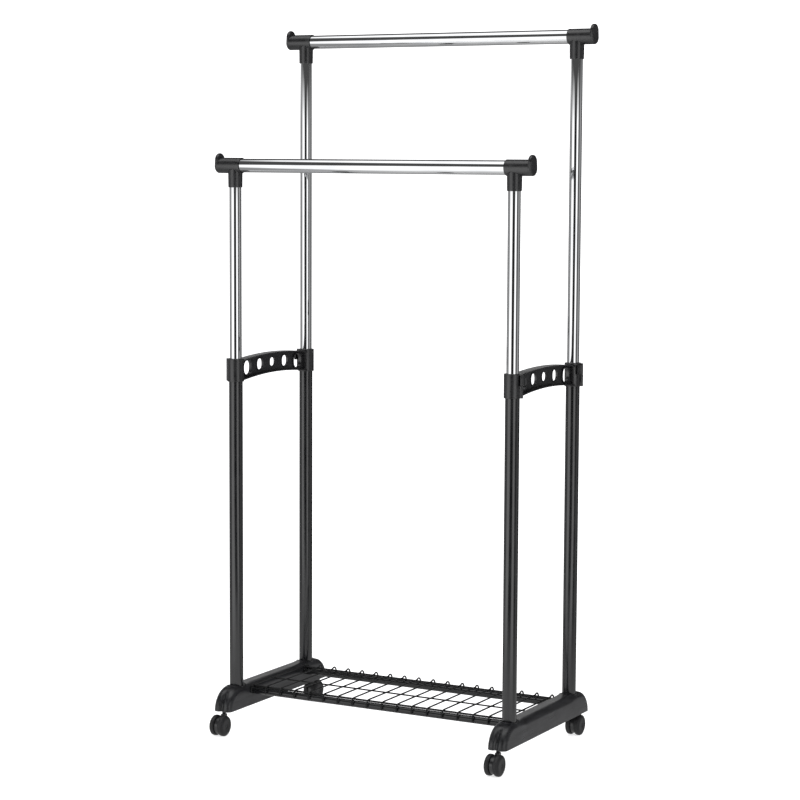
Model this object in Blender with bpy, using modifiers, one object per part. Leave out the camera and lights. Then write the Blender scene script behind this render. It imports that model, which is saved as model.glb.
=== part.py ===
"""Two-tier rolling clothes rack: telescoping chrome frames on a plastic and steel base.

Units are metres and +Z is up. +X runs along the hanging rods and -Y is the side of the lower rod.
The origin is on the floor, under the centre of the rack's bounding box. The casters trail towards
-Y, so the middle of the four posts lies a little towards +Y of the origin.
"""

import math

import bmesh
import bpy
from mathutils import Matrix, Vector

# ---------------------------------------------------------------- driving dimensions
MID_Y = 0.0105              # middle of the four posts
POST_X = 0.2830             # half the spacing of the posts along the rods
POST_Y = 0.1245             # half the spacing of the posts across the rods
GAP = 0.0003                # clearance between pieces that touch
SEG = 20                    # sides of every tube, sleeve and wheel

LOWER_R = 0.0127            # lower posts: 1 inch steel tube
LOWER_WALL = 0.0012
LOWER_BOTTOM = 0.0525
LOWER_TOP = 0.6735
LOWER_PLUG = 0.0120         # welded threaded plug that closes the post's foot
UPPER_R = 0.0111            # upper posts: 7/8 inch chrome tube
UPPER_WALL = 0.0010
UPPER_LENGTH = 0.6400
ROD_R = 0.0127              # hanging rods: 1 inch chrome tube
ROD_WALL = 0.0010
FRONT_ROD_Z = 1.0482
REAR_ROD_Z = 1.2810

FOOT_HALF_LENGTH = 0.1780
FOOT_HALF_WIDTH = 0.0185
FOOT_BOTTOM = 0.0435
FOOT_TOP = 0.0855
NOSE_RUN = 0.0420           # length of the quarter-round at each end
FOOT_ROUND = 0.0100         # rounding of the foot's upper edges
GROOVE_R = 0.0032
GROOVE_BACK = 0.1750        # distance of the nose groove's back from the foot's middle
POCKET_HALF = 0.0780        # underside pockets, between the shelf tubes
POCKET_WALL = 0.0030
POCKET_ROOF = 0.0085

BRACKET_LOW = 0.6528        # side bracket: height of the two sleeves
BRACKET_HIGH = 0.6953
BRACKET_CROWN_TOP = 0.6985
BRACKET_CROWN_LOW = 0.6618
BRACKET_RISE_TOP = 0.0065
BRACKET_RISE_LOW = 0.0075
BRACKET_REACH = 0.1125
WEB_THICKNESS = 0.0025
FLANGE_WIDTH = 0.0210
FLANGE_THICKNESS = 0.0024
SLEEVE_R = 0.0153
HOLES = ((0.0880, 0.0133), (0.0437, 0.0103), (0.0, 0.0080))

LEVER_PIVOT = 0.0170        # lever pin's distance from the post's axis
LEVER_HEAD_R = 0.0032
LEVER_PIN_R = 0.0014
LEVER_BOTTOM = 0.6748
LEVER_HEIGHT = 0.0174
LEVER_LENGTH = 0.0135
LEVER_THICKNESS = 0.0026

TEE_MOUTH_X = 0.2680        # rod sleeve from its inner mouth to its outer end
TEE_END_X = 0.3205
TEE_ROD_SLEEVE_R = 0.0142
TEE_POST_SLEEVE_R = 0.0132
TEE_DROP = 0.0397
STOP_THICKNESS = 0.0075
ROD_END_WALL = 0.0090
STOP_HALF_WIDTH = 0.0130
STOP_RISE = 0.0222

SHELF_TUBE_R = 0.00635
SHELF_TUBE_WALL = 0.0010
SHELF_TUBE_REACH = {"front": 0.0960, "rear": 0.0910}
SHELF_TUBE_Z = 0.0708
SHELF_TUBE_END = 0.2860
WIRE_R = 0.0015
WIRE_COUNT = 18
WIRE_PITCH = 0.0309
WIRE_SINK = 0.0007          # depth of the weld between crossing wires
LONG_WIRE_END = 0.2630
MIDDLE_WIRE_Y = -0.0125
EDGE_WIRE_R = 0.0019        # two heavier wires that lie along the tubes
EDGE_WIRE_INSET = 0.0010
FRONT_HOOK_R = 0.0095
REAR_HOOK_R = 0.0078

WHEEL_R = 0.0190
WHEEL_INNER = 0.0040
WHEEL_OUTER = 0.0145
CASTER_Y = 0.1675           # swivel axes, from the middle of the foot
TRAIL = 0.0130
AXLE_R = 0.0020
STEM_R = 0.0034
STEM_NECK_R = 0.0025
STEM_SOCKET_TOP = 0.0600
HOOD_TOP = 0.0385
HOOD_R = 0.0160
HOOD_HALF = 0.0037

SIDES = (("left", -1), ("right", 1))
ENDS = (("front", -1), ("rear", 1))

BLACK_PLASTIC = ((0.024, 0.024, 0.028), 0.45, 0.0)
BLACK_STEEL = ((0.030, 0.033, 0.037), 0.35, 0.3)
CHROME = ((0.78, 0.79, 0.80), 0.08, 1.0)
ZINC_STEEL = ((0.55, 0.55, 0.56), 0.30, 1.0)
WHEEL_NYLON = ((0.030, 0.030, 0.034), 0.50, 0.0)


# ---------------------------------------------------------------- scene and helpers
def clear_scene():
    for old in list(bpy.data.objects):
        bpy.data.objects.remove(old, do_unlink=True)


def new_collection(name):
    collection = bpy.data.collections.new(name)
    bpy.context.scene.collection.children.link(collection)
    return collection


clear_scene()
RACK = new_collection("rolling_clothes_rack")
CUTTERS = new_collection("cutters")
CUTTERS.hide_render = True


def add_material(obj, look):
    colour, roughness, metallic = look
    material = bpy.data.materials.new(obj.name)
    material.use_nodes = True
    shader = material.node_tree.nodes["Principled BSDF"]
    shader.inputs["Base Color"].default_value = (*colour, 1.0)
    shader.inputs["Roughness"].default_value = roughness
    shader.inputs["Metallic"].default_value = metallic
    obj.data.materials.clear()
    obj.data.materials.append(material)


def new_object(name, mesh, look=None, matrix=None):
    """Link a mesh as a part of the rack when it has a look, and as a cutter otherwise."""
    obj = bpy.data.objects.new(name, mesh)
    if matrix is not None:
        obj.matrix_world = matrix
    if look is None:
        CUTTERS.objects.link(obj)
        obj.hide_render = True
        obj.display_type = 'WIRE'
    else:
        RACK.objects.link(obj)
        add_material(obj, look)
        mesh.shade_smooth()
        mesh.set_sharp_from_angle(angle=math.radians(35))
    return obj


def place(x, y, z):
    return Matrix.Translation((x, y, z))


def box(name, low, high, look=None):
    low = Vector(low)
    high = Vector(high)
    bm = bmesh.new()
    bmesh.ops.create_cube(bm, size=1.0)
    bmesh.ops.scale(bm, vec=high - low, verts=bm.verts)
    bmesh.ops.translate(bm, vec=(low + high) / 2, verts=bm.verts)
    mesh = bpy.data.meshes.new(name)
    bm.to_mesh(mesh)
    bm.free()
    return new_object(name, mesh, look)


def cylinder(name, radius, start, end, look=None, segments=SEG):
    """A closed cylinder between two points, with a vertex in its local +X direction."""
    start = Vector(start)
    end = Vector(end)
    bm = bmesh.new()
    bmesh.ops.create_cone(bm, cap_ends=True, segments=segments, radius1=radius,
                          radius2=radius, depth=(end - start).length)
    turn = (end - start).to_track_quat('Z', 'Y').to_matrix().to_4x4()
    bmesh.ops.transform(bm, matrix=Matrix.Translation((start + end) / 2) @ turn, verts=bm.verts)
    mesh = bpy.data.meshes.new(name)
    bm.to_mesh(mesh)
    bm.free()
    return new_object(name, mesh, look)


def turned(name, profile, look, matrix, segments=SEG, closed=False):
    """Turn a profile of (radius, height) about the local Z axis, outer side top to bottom."""
    bm = bmesh.new()
    verts = [bm.verts.new((radius, 0.0, height)) for radius, height in profile]
    for first, second in zip(verts, verts[1:]):
        bm.edges.new((first, second))
    if closed:
        bm.edges.new((verts[-1], verts[0]))
    mesh = bpy.data.meshes.new(name)
    bm.to_mesh(mesh)
    bm.free()
    obj = new_object(name, mesh, look, matrix)
    screw = obj.modifiers.new("turn", 'SCREW')
    screw.steps = segments
    screw.render_steps = segments
    screw.use_merge_vertices = True
    screw.merge_threshold = 0.00001
    screw.use_smooth_shade = True
    return obj


def tube(name, radius, wall, length, look, matrix, segments=SEG):
    """An open tube that stands on its local origin."""
    inner = radius - wall
    profile = ((radius, length), (radius, 0.0), (inner, 0.0), (inner, length))
    return turned(name, profile, look, matrix, segments, closed=True)


def curve_mesh(name, curve, matrix, look=None):
    """Turn a curve into a closed mesh object with its caps welded."""
    curve_obj = bpy.data.objects.new(name + "_curve", curve)
    bpy.context.scene.collection.objects.link(curve_obj)
    curve_obj.matrix_world = matrix
    bpy.context.view_layer.update()
    evaluated = curve_obj.evaluated_get(bpy.context.evaluated_depsgraph_get())
    mesh = bpy.data.meshes.new_from_object(evaluated)
    mesh.name = name
    bm = bmesh.new()
    bm.from_mesh(mesh)
    bmesh.ops.remove_doubles(bm, verts=bm.verts, dist=0.00001)
    bmesh.ops.recalc_face_normals(bm, faces=bm.faces)
    bm.transform(matrix)
    bm.to_mesh(mesh)
    bm.free()
    bpy.data.objects.remove(curve_obj, do_unlink=True)
    bpy.data.curves.remove(curve)
    return new_object(name, mesh, look)


# A plate drawn in (y, z) whose thickness runs along X.
SIDE_PLANE = Matrix(((0, 0, 1, 0), (1, 0, 0, 0), (0, 1, 0, 0), (0, 0, 0, 1)))


def plate(name, outlines, half_thickness, x, look=None):
    """A flat plate across X from closed outlines of (y, z) points; inner outlines are holes."""
    curve = bpy.data.curves.new(name, 'CURVE')
    curve.dimensions = '2D'
    curve.fill_mode = 'BOTH'
    curve.extrude = half_thickness
    for outline in outlines:
        spline = curve.splines.new('POLY')
        spline.points.add(len(outline) - 1)
        spline.use_cyclic_u = True
        for point, (y, z) in zip(spline.points, outline):
            point.co = (y, z, 0.0, 1.0)
    return curve_mesh(name, curve, place(x, 0.0, 0.0) @ SIDE_PLANE, look)


def wire(name, points, radius=WIRE_R):
    """A round wire along a path, as a closed mesh."""
    curve = bpy.data.curves.new(name, 'CURVE')
    curve.dimensions = '3D'
    curve.bevel_depth = radius
    curve.bevel_resolution = 1
    curve.use_fill_caps = True
    spline = curve.splines.new('POLY')
    spline.points.add(len(points) - 1)
    for point, co in zip(spline.points, points):
        point.co = (*co, 1.0)
    return curve_mesh(name, curve, Matrix.Identity(4))


def arc(centre, radius, start_deg, end_deg, steps):
    """Points of (y, z) along an arc, angles counted from +Y towards +Z."""
    points = []
    for i in range(steps + 1):
        angle = math.radians(start_deg + (end_deg - start_deg) * i / steps)
        points.append((centre[0] + radius * math.cos(angle), centre[1] + radius * math.sin(angle)))
    return points


def boolean(target, cutter, operation='DIFFERENCE'):
    modifier = target.modifiers.new(operation.lower(), 'BOOLEAN')
    modifier.operation = operation
    modifier.solver = 'EXACT'
    modifier.object = cutter


def joined(name, objects):
    """Join closed meshes that don't touch one another into a single cutter mesh."""
    bm = bmesh.new()
    for obj in objects:
        bm.from_mesh(obj.data)
        bpy.data.objects.remove(obj, do_unlink=True)
    mesh = bpy.data.meshes.new(name)
    bm.to_mesh(mesh)
    bm.free()
    return new_object(name, mesh)


def corners():
    """The rack's four corners, as a name, the side's and end's signs, and the post's x and y."""
    for end_name, end in ENDS:
        for side_name, side in SIDES:
            yield f"{end_name}_{side_name}", side, end, side * POST_X, MID_Y + end * POST_Y


# ---------------------------------------------------------------- feet
def foot_outline():
    """Side view of a foot with a quarter-round nose at each end, before its bottom is trimmed."""
    points = [(FOOT_HALF_LENGTH, FOOT_BOTTOM - FOOT_ROUND)]
    steps = 6
    for i in range(steps + 1):
        angle = math.radians(90.0 * i / steps)
        points.append((FOOT_HALF_LENGTH - NOSE_RUN * (1.0 - math.cos(angle)),
                       FOOT_BOTTOM + (FOOT_TOP - FOOT_BOTTOM) * math.sin(angle)))
    mirrored = [(-y, z) for y, z in reversed(points)]
    return [(MID_Y + y, z) for y, z in points + mirrored]


def round_upper_edges(obj):
    """Bevel every outline edge of a foot except those below its bottom."""
    bm = bmesh.new()
    bm.from_mesh(obj.data)
    weight = bm.edges.layers.float.new("bevel_weight_edge")
    for edge in bm.edges:
        on_side = abs(edge.verts[0].co.x - edge.verts[1].co.x) < 0.001
        outline = any(abs(face.normal.x) > 0.9 for face in edge.link_faces) and on_side
        above = max(vert.co.z for vert in edge.verts) > FOOT_BOTTOM - 0.001
        edge[weight] = 1.0 if outline and above else 0.0
    bm.to_mesh(obj.data)
    bm.free()
    bevel = obj.modifiers.new("round", 'BEVEL')
    bevel.limit_method = 'WEIGHT'
    bevel.width = FOOT_ROUND
    bevel.segments = 3


def build_foot(side_name, side):
    x = side * POST_X
    foot = plate(f"{side_name}_foot", [foot_outline()], FOOT_HALF_WIDTH, x, BLACK_PLASTIC)
    round_upper_edges(foot)
    trim = box(foot.name + "_trim", (x - 0.03, MID_Y - 0.2, FOOT_BOTTOM - 0.03),
               (x + 0.03, MID_Y + 0.2, FOOT_BOTTOM))
    boolean(foot, trim)
    rib = POCKET_WALL / 2
    pocket_length = (2 * POCKET_HALF - 2 * POCKET_WALL) / 3
    for i in range(3):
        low_y = MID_Y - POCKET_HALF + i * (pocket_length + POCKET_WALL)
        pocket = box(f"{foot.name}_pocket_{i}",
                     (x - FOOT_HALF_WIDTH + POCKET_WALL, low_y, FOOT_BOTTOM - rib),
                     (x + FOOT_HALF_WIDTH - POCKET_WALL, low_y + pocket_length,
                      FOOT_TOP - POCKET_ROOF))
        boolean(foot, pocket)
    inner_x = side * (SHELF_TUBE_END + GAP)
    for end_name, end in ENDS:
        post_y = MID_Y + end * POST_Y
        tag = f"{foot.name}_{end_name}"
        post_bore = cylinder(tag + "_post_bore", LOWER_R + GAP,
                             (x, post_y, LOWER_BOTTOM - GAP), (x, post_y, FOOT_TOP + 0.01))
        screw_hole = cylinder(tag + "_screw_hole", 0.0034, (x, post_y, FOOT_BOTTOM - 0.01),
                              (x, post_y, LOWER_BOTTOM + 0.001), segments=16)
        counterbore = cylinder(tag + "_counterbore", 0.0064, (x, post_y, FOOT_BOTTOM - 0.01),
                               (x, post_y, FOOT_BOTTOM + 0.004), segments=16)
        tube_y = MID_Y + end * SHELF_TUBE_REACH[end_name]
        tube_bore = cylinder(tag + "_tube_bore", SHELF_TUBE_R + GAP,
                             (inner_x - side * 0.04, tube_y, SHELF_TUBE_Z),
                             (inner_x, tube_y, SHELF_TUBE_Z), segments=16)
        stem_y = MID_Y + end * CASTER_Y
        socket = cylinder(tag + "_socket", STEM_R + GAP, (x, stem_y, FOOT_BOTTOM - 0.01),
                          (x, stem_y, STEM_SOCKET_TOP), segments=16)
        groove_y = MID_Y + end * (GROOVE_BACK + GROOVE_R)
        groove = cylinder(tag + "_groove", GROOVE_R, (x, groove_y, FOOT_BOTTOM - 0.01),
                          (x, groove_y, FOOT_TOP), segments=16)
        for cutter in (post_bore, screw_hole, counterbore, tube_bore, socket, groove):
            boolean(foot, cutter)
    return foot


# ---------------------------------------------------------------- posts and hanging rods
def build_lower_post(name, x, y):
    inner = LOWER_R - LOWER_WALL
    hole = 0.0031
    profile = ((LOWER_R, LOWER_TOP - LOWER_BOTTOM), (LOWER_R, 0.0), (hole, 0.0),
               (hole, LOWER_PLUG), (inner, LOWER_PLUG), (inner, LOWER_TOP - LOWER_BOTTOM))
    turned(f"{name}_lower_post", profile, BLACK_STEEL, place(x, y, LOWER_BOTTOM), closed=True)
    screw_profile = ((0.0, 0.0120), (0.0029, 0.0120), (0.0029, 0.0033), (0.0055, 0.0033),
                     (0.0055, 0.0004), (0.0, 0.0004))
    turned(f"{name}_post_screw", screw_profile, ZINC_STEEL, place(x, y, FOOT_BOTTOM), segments=12)


def build_upper_post(name, x, y, rod_z):
    top = rod_z - TEE_ROD_SLEEVE_R
    bottom = top - UPPER_LENGTH
    tube(f"{name}_upper_post", UPPER_R, UPPER_WALL, UPPER_LENGTH, CHROME, place(x, y, bottom))
    plug_r = UPPER_R - UPPER_WALL - 0.0002
    guide_r = LOWER_R - LOWER_WALL - 0.0002
    profile = ((0.0, 0.0100), (plug_r, 0.0100), (plug_r, -GAP), (guide_r, -GAP),
               (guide_r, -0.0080), (0.0, -0.0080))
    turned(f"{name}_guide_plug", profile, BLACK_PLASTIC, place(x, y, bottom))


def build_tee(name, side, x, y, rod_z):
    mouth = side * TEE_MOUTH_X
    end = side * TEE_END_X
    stop = side * (TEE_END_X - STOP_THICKNESS)
    length = TEE_END_X - TEE_MOUTH_X
    sleeve_profile = ((0.0, length), (TEE_ROD_SLEEVE_R - 0.0030, length),
                      (TEE_ROD_SLEEVE_R - 0.0009, length - 0.0009),
                      (TEE_ROD_SLEEVE_R, length - 0.0030), (TEE_ROD_SLEEVE_R, 0.0), (0.0, 0.0))
    outward = place(mouth, y, rod_z) @ Matrix.Rotation(math.radians(90 * side), 4, 'Y')
    tee = turned(f"{name}_rod_tee", sleeve_profile, BLACK_PLASTIC, outward)
    post_sleeve = cylinder(tee.name + "_post_sleeve", TEE_POST_SLEEVE_R, (x, y, rod_z - TEE_DROP),
                           (x, y, rod_z - 0.0020))
    tongue_z = rod_z + STOP_RISE - STOP_HALF_WIDTH
    tongue = cylinder(tee.name + "_tongue", STOP_HALF_WIDTH, (stop, y, tongue_z),
                      (end - side * 0.0007, y, tongue_z))
    rod_bore = cylinder(tee.name + "_rod_bore", ROD_R + GAP, (mouth - side * 0.01, y, rod_z),
                        (end - side * ROD_END_WALL, y, rod_z))
    post_bore = cylinder(tee.name + "_post_bore", UPPER_R + GAP, (x, y, rod_z - TEE_DROP - 0.01),
                         (x, y, rod_z - TEE_ROD_SLEEVE_R + GAP))
    boolean(tee, post_sleeve, 'UNION')
    boolean(tee, tongue, 'UNION')
    boolean(tee, post_bore)
    boolean(tee, rod_bore)


def build_rod(end_name, y, rod_z):
    half = TEE_END_X - ROD_END_WALL - GAP
    along_x = place(-half, y, rod_z) @ Matrix.Rotation(math.radians(90), 4, 'Y')
    tube(f"{end_name}_rod", ROD_R, ROD_WALL, 2 * half, CHROME, along_x)


# ---------------------------------------------------------------- side brackets and levers
def bow(crown, rise, y):
    """Height of an arched edge that drops by rise from its crown to the bracket's reach."""
    return crown - rise * (y / BRACKET_REACH) ** 2


def arched_strip(high, low, steps=8):
    """Closed outline between two arched edges, each given as a function of y."""
    ys = [BRACKET_REACH * (2.0 * i / steps - 1.0) for i in range(steps + 1)]
    upper = [(MID_Y + y, high(y)) for y in ys]
    lower = [(MID_Y + y, low(y)) for y in reversed(ys)]
    return upper + lower


def build_bracket(side_name, side):
    x = side * POST_X

    def top(y):
        return bow(BRACKET_CROWN_TOP, BRACKET_RISE_TOP, y)

    def bottom(y):
        return bow(BRACKET_CROWN_LOW, BRACKET_RISE_LOW, y)

    outlines = [arched_strip(lambda y: top(y) - FLANGE_THICKNESS / 2,
                             lambda y: bottom(y) + FLANGE_THICKNESS / 2)]
    for end in (-1, 1):
        for reach, radius in HOLES:
            if reach or end > 0:
                y = end * reach
                middle = (top(y) + bottom(y)) / 2
                outlines.append(arc((MID_Y + y, middle), radius, 0, 337.5, 15))
    bracket = plate(f"{side_name}_side_bracket", outlines, WEB_THICKNESS / 2, x, BLACK_PLASTIC)
    upper = plate(bracket.name + "_upper_flange",
                  [arched_strip(top, lambda y: top(y) - FLANGE_THICKNESS)], FLANGE_WIDTH / 2, x)
    lower = plate(bracket.name + "_lower_flange",
                  [arched_strip(lambda y: bottom(y) + FLANGE_THICKNESS, bottom)],
                  FLANGE_WIDTH / 2, x)
    boolean(bracket, upper, 'UNION')
    boolean(bracket, lower, 'UNION')
    recess_x = x + side * (LEVER_PIVOT - LEVER_HEAD_R - GAP)
    pin_x = x + side * LEVER_PIVOT
    lever_top = LEVER_BOTTOM + LEVER_HEIGHT
    for end_name, end in ENDS:
        y = MID_Y + end * POST_Y
        tag = f"{bracket.name}_{end_name}"
        sleeve = cylinder(tag + "_sleeve", SLEEVE_R, (x, y, BRACKET_LOW), (x, y, BRACKET_HIGH))
        ear_start = x + side * 0.0130
        ear_half = LEVER_HEAD_R - GAP
        ear = box(tag + "_ear",
                  (min(ear_start, pin_x), y - ear_half, BRACKET_LOW + 0.0008),
                  (max(ear_start, pin_x), y + ear_half, BRACKET_HIGH - 0.0008))
        ear_end = cylinder(tag + "_ear_end", LEVER_HEAD_R, (pin_x, y, BRACKET_LOW + 0.0004),
                           (pin_x, y, BRACKET_HIGH - 0.0004), segments=12)
        recess = box(tag + "_recess",
                     (min(recess_x, recess_x + side * 0.03), y - 0.02, LEVER_BOTTOM - GAP),
                     (max(recess_x, recess_x + side * 0.03), y + 0.02, lever_top + GAP))
        pin = cylinder(tag + "_pin", LEVER_PIN_R, (pin_x, y, LEVER_BOTTOM - 0.002),
                       (pin_x, y, lever_top + 0.0015), segments=12)
        upper_bore = cylinder(tag + "_upper_bore", UPPER_R + GAP, (x, y, BRACKET_LOW - 0.01),
                              (x, y, BRACKET_HIGH + 0.01))
        lower_bore = cylinder(tag + "_lower_bore", LOWER_R + GAP, (x, y, BRACKET_LOW - 0.02),
                              (x, y, LOWER_TOP + GAP))
        for part in (sleeve, ear, ear_end):
            boolean(bracket, part, 'UNION')
        boolean(bracket, recess)
        boolean(bracket, pin, 'UNION')
        boolean(bracket, upper_bore)
        boolean(bracket, lower_bore)


def build_lever(name, side, end, x, y):
    """Clamp lever: a round head on the bracket's pin and a flat arm towards the middle."""
    pin_x = x + side * LEVER_PIVOT
    face_x = pin_x - side * LEVER_HEAD_R
    top = LEVER_BOTTOM + LEVER_HEIGHT
    lever = cylinder(f"{name}_clamp_lever", LEVER_HEAD_R, (pin_x, y, LEVER_BOTTOM),
                     (pin_x, y, top), BLACK_PLASTIC, segments=12)
    lever.data.transform(place(-pin_x, -y, 0.0))
    lever.matrix_world = place(pin_x, y, 0.0)
    far_y = y - end * LEVER_LENGTH
    arm = box(lever.name + "_arm",
              (min(face_x, face_x + side * LEVER_THICKNESS), min(y, far_y), LEVER_BOTTOM),
              (max(face_x, face_x + side * LEVER_THICKNESS), max(y, far_y), top))
    grip = cylinder(lever.name + "_grip", 0.0022, (face_x + side * 0.0022, far_y, LEVER_BOTTOM),
                    (face_x + side * 0.0022, far_y, top), segments=12)
    bore = cylinder(lever.name + "_bore", LEVER_PIN_R + 0.0001, (pin_x, y, LEVER_BOTTOM - 0.01),
                    (pin_x, y, top + 0.01), segments=12)
    boolean(lever, arm, 'UNION')
    boolean(lever, grip, 'UNION')
    boolean(lever, bore)


# ---------------------------------------------------------------- wire shelf
def build_shelf():
    tube_ys = {}
    for end_name, end in ENDS:
        tube_y = MID_Y + end * SHELF_TUBE_REACH[end_name]
        matrix = (place(-SHELF_TUBE_END, tube_y, SHELF_TUBE_Z)
                  @ Matrix.Rotation(math.radians(90), 4, 'Y'))
        tube(f"shelf_{end_name}_tube", SHELF_TUBE_R, SHELF_TUBE_WALL, 2 * SHELF_TUBE_END,
             BLACK_STEEL, matrix, segments=16)
        tube_ys[end_name] = tube_y
    front_y = tube_ys["front"]
    rear_y = tube_ys["rear"]
    edge_reach = SHELF_TUBE_R + GAP + EDGE_WIRE_R
    edge_z = SHELF_TUBE_Z + math.sqrt(edge_reach ** 2 - EDGE_WIRE_INSET ** 2)
    deck_z = edge_z + EDGE_WIRE_R + WIRE_R - WIRE_SINK
    front_hook = arc((front_y, deck_z - FRONT_HOOK_R), FRONT_HOOK_R, 208, 90, 5)
    rear_centre = (rear_y + 0.0030, deck_z - REAR_HOOK_R * math.sin(math.radians(45)))
    path = front_hook + arc(rear_centre, REAR_HOOK_R, 135, -25, 5)
    first_x = -WIRE_PITCH * (WIRE_COUNT - 1) / 2
    crossing = [wire(f"cross_wire_{i}", [(first_x + i * WIRE_PITCH, y, z) for y, z in path])
                for i in range(WIRE_COUNT)]
    middle_z = deck_z - 2 * WIRE_R + WIRE_SINK
    along = [wire("middle_wire", [(-LONG_WIRE_END, MIDDLE_WIRE_Y, middle_z),
                                  (LONG_WIRE_END, MIDDLE_WIRE_Y, middle_z)])]
    for edge_y in (front_y + EDGE_WIRE_INSET, rear_y - EDGE_WIRE_INSET):
        along.append(wire("edge_wire", [(-LONG_WIRE_END, edge_y, edge_z),
                                        (LONG_WIRE_END, edge_y, edge_z)], EDGE_WIRE_R))
    cross_set = joined("cross_wires", crossing)
    long_set = joined("long_wires", along)
    grid = new_object("shelf_wire_grid", cross_set.data.copy(), BLACK_STEEL)
    bpy.data.objects.remove(cross_set, do_unlink=True)
    boolean(grid, long_set, 'UNION')


# ---------------------------------------------------------------- casters
def hood_outline(stem_y):
    """Side view of a caster's hood: a disc about the axle and a boss about the stem."""
    axle_y = stem_y - TRAIL
    rim = arc((axle_y, WHEEL_R), HOOD_R, -4, -298, 16)
    boss_end = stem_y + 0.0055
    return rim + [(rim[-1][0], HOOD_TOP), (boss_end, HOOD_TOP), (boss_end, rim[0][1])]


def build_caster(name, side, end):
    x = side * POST_X
    stem_y = MID_Y + end * CASTER_Y
    axle_y = stem_y - TRAIL
    neck_low = 0.0240
    stem_profile = ((0.0, STEM_SOCKET_TOP - GAP), (STEM_R, STEM_SOCKET_TOP - GAP),
                    (STEM_R, HOOD_TOP + GAP), (STEM_NECK_R, HOOD_TOP + GAP),
                    (STEM_NECK_R, neck_low), (0.0, neck_low))
    turned(f"{name}_caster_stem", stem_profile, ZINC_STEEL, place(x, stem_y, 0.0), segments=16)
    hood = plate(f"{name}_caster_hood", [hood_outline(stem_y)], HOOD_HALF, x, BLACK_PLASTIC)
    neck_bore = cylinder(hood.name + "_neck_bore", STEM_NECK_R + 0.0001,
                         (x, stem_y, neck_low - GAP), (x, stem_y, HOOD_TOP + 0.01), segments=16)
    axle_bore = cylinder(hood.name + "_axle_bore", AXLE_R + 0.0001,
                         (x - 0.01, axle_y, WHEEL_R), (x + 0.01, axle_y, WHEEL_R), segments=16)
    boolean(hood, neck_bore)
    boolean(hood, axle_bore)
    axle_half = 0.0122
    cylinder(f"{name}_caster_axle", AXLE_R, (x - axle_half, axle_y, WHEEL_R),
             (x + axle_half, axle_y, WHEEL_R), ZINC_STEEL, segments=16)
    rim_r = WHEEL_R / math.cos(math.pi / SEG)
    bore_r = AXLE_R + 0.0001
    wheel_profile = ((0.0, WHEEL_OUTER - 0.0012), (0.0080, WHEEL_OUTER - 0.0012),
                     (0.0092, WHEEL_OUTER), (0.0140, WHEEL_OUTER),
                     (0.0174, WHEEL_OUTER - 0.0015), (rim_r, WHEEL_OUTER - 0.0045),
                     (rim_r, WHEEL_INNER), (bore_r, WHEEL_INNER),
                     (bore_r, axle_half + GAP), (0.0, axle_half + GAP))
    half_step = Matrix.Rotation(math.pi / SEG, 4, 'Z')
    for wheel_name, facing in SIDES:
        outward = Matrix.Rotation(math.radians(90 * facing), 4, 'Y')
        turned(f"{name}_caster_{wheel_name}_wheel", wheel_profile, WHEEL_NYLON,
               place(x, axle_y, WHEEL_R) @ outward @ half_step)


# ---------------------------------------------------------------- assembly
def build_rack():
    for side_name, side in SIDES:
        build_foot(side_name, side)
        build_bracket(side_name, side)
    for name, side, end, x, y in corners():
        rod_z = FRONT_ROD_Z if end < 0 else REAR_ROD_Z
        build_lower_post(name, x, y)
        build_upper_post(name, x, y, rod_z)
        build_tee(name, side, x, y, rod_z)
        build_lever(name, side, end, x, y)
        build_caster(name, side, end)
    build_rod("front", MID_Y - POST_Y, FRONT_ROD_Z)
    build_rod("rear", MID_Y + POST_Y, REAR_ROD_Z)
    build_shelf()


build_rack()
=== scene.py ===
"""Finished surfaces, materials, light and camera for a two-tier rolling clothes rack.

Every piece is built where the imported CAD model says, in metres, and rides on that model's bodies.
"""

import math

import bmesh
import bpy
from mathutils import Matrix, Vector


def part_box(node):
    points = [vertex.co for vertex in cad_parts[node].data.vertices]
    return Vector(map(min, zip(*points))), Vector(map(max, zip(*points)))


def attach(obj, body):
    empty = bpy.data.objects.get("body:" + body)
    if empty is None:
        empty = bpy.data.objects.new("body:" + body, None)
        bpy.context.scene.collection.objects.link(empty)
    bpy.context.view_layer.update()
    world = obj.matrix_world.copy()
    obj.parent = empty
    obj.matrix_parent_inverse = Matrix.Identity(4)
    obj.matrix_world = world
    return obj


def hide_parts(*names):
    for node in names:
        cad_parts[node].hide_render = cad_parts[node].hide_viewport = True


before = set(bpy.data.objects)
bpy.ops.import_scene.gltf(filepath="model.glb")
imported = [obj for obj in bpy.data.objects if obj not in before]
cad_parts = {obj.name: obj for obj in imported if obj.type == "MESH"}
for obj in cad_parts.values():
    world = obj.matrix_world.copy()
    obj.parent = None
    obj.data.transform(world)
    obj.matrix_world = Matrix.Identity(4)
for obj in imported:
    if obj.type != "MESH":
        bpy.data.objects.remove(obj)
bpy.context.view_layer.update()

ROUND = 96                  # sides of the large tubes and sleeves
SMALL_ROUND = 48            # sides of pins, screws and holes
CLEAR = 0.0003              # gap between pieces that touch
WELD_DISTANCE = 0.00001     # vertices closer than this are merged

SIDES = (("left", -1), ("right", 1))
ENDS = (("front", -1), ("rear", 1))


# ---------------------------------------------------------------- places read from the model
def middle(node):
    low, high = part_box(node)
    return (Vector(low) + Vector(high)) / 2


def extent(node):
    low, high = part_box(node)
    return Vector(high) - Vector(low)


def low_z(node):
    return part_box(node)[0][2]


def high_z(node):
    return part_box(node)[1][2]


def corners():
    """The four corners: name, side and end signs, and the post's axis."""
    for end_name, end in ENDS:
        for side_name, side in SIDES:
            name = f"{end_name}_{side_name}"
            post = middle(f"{name}_lower_post")
            yield name, side_name, side, end_name, end, post.x, post.y


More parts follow.
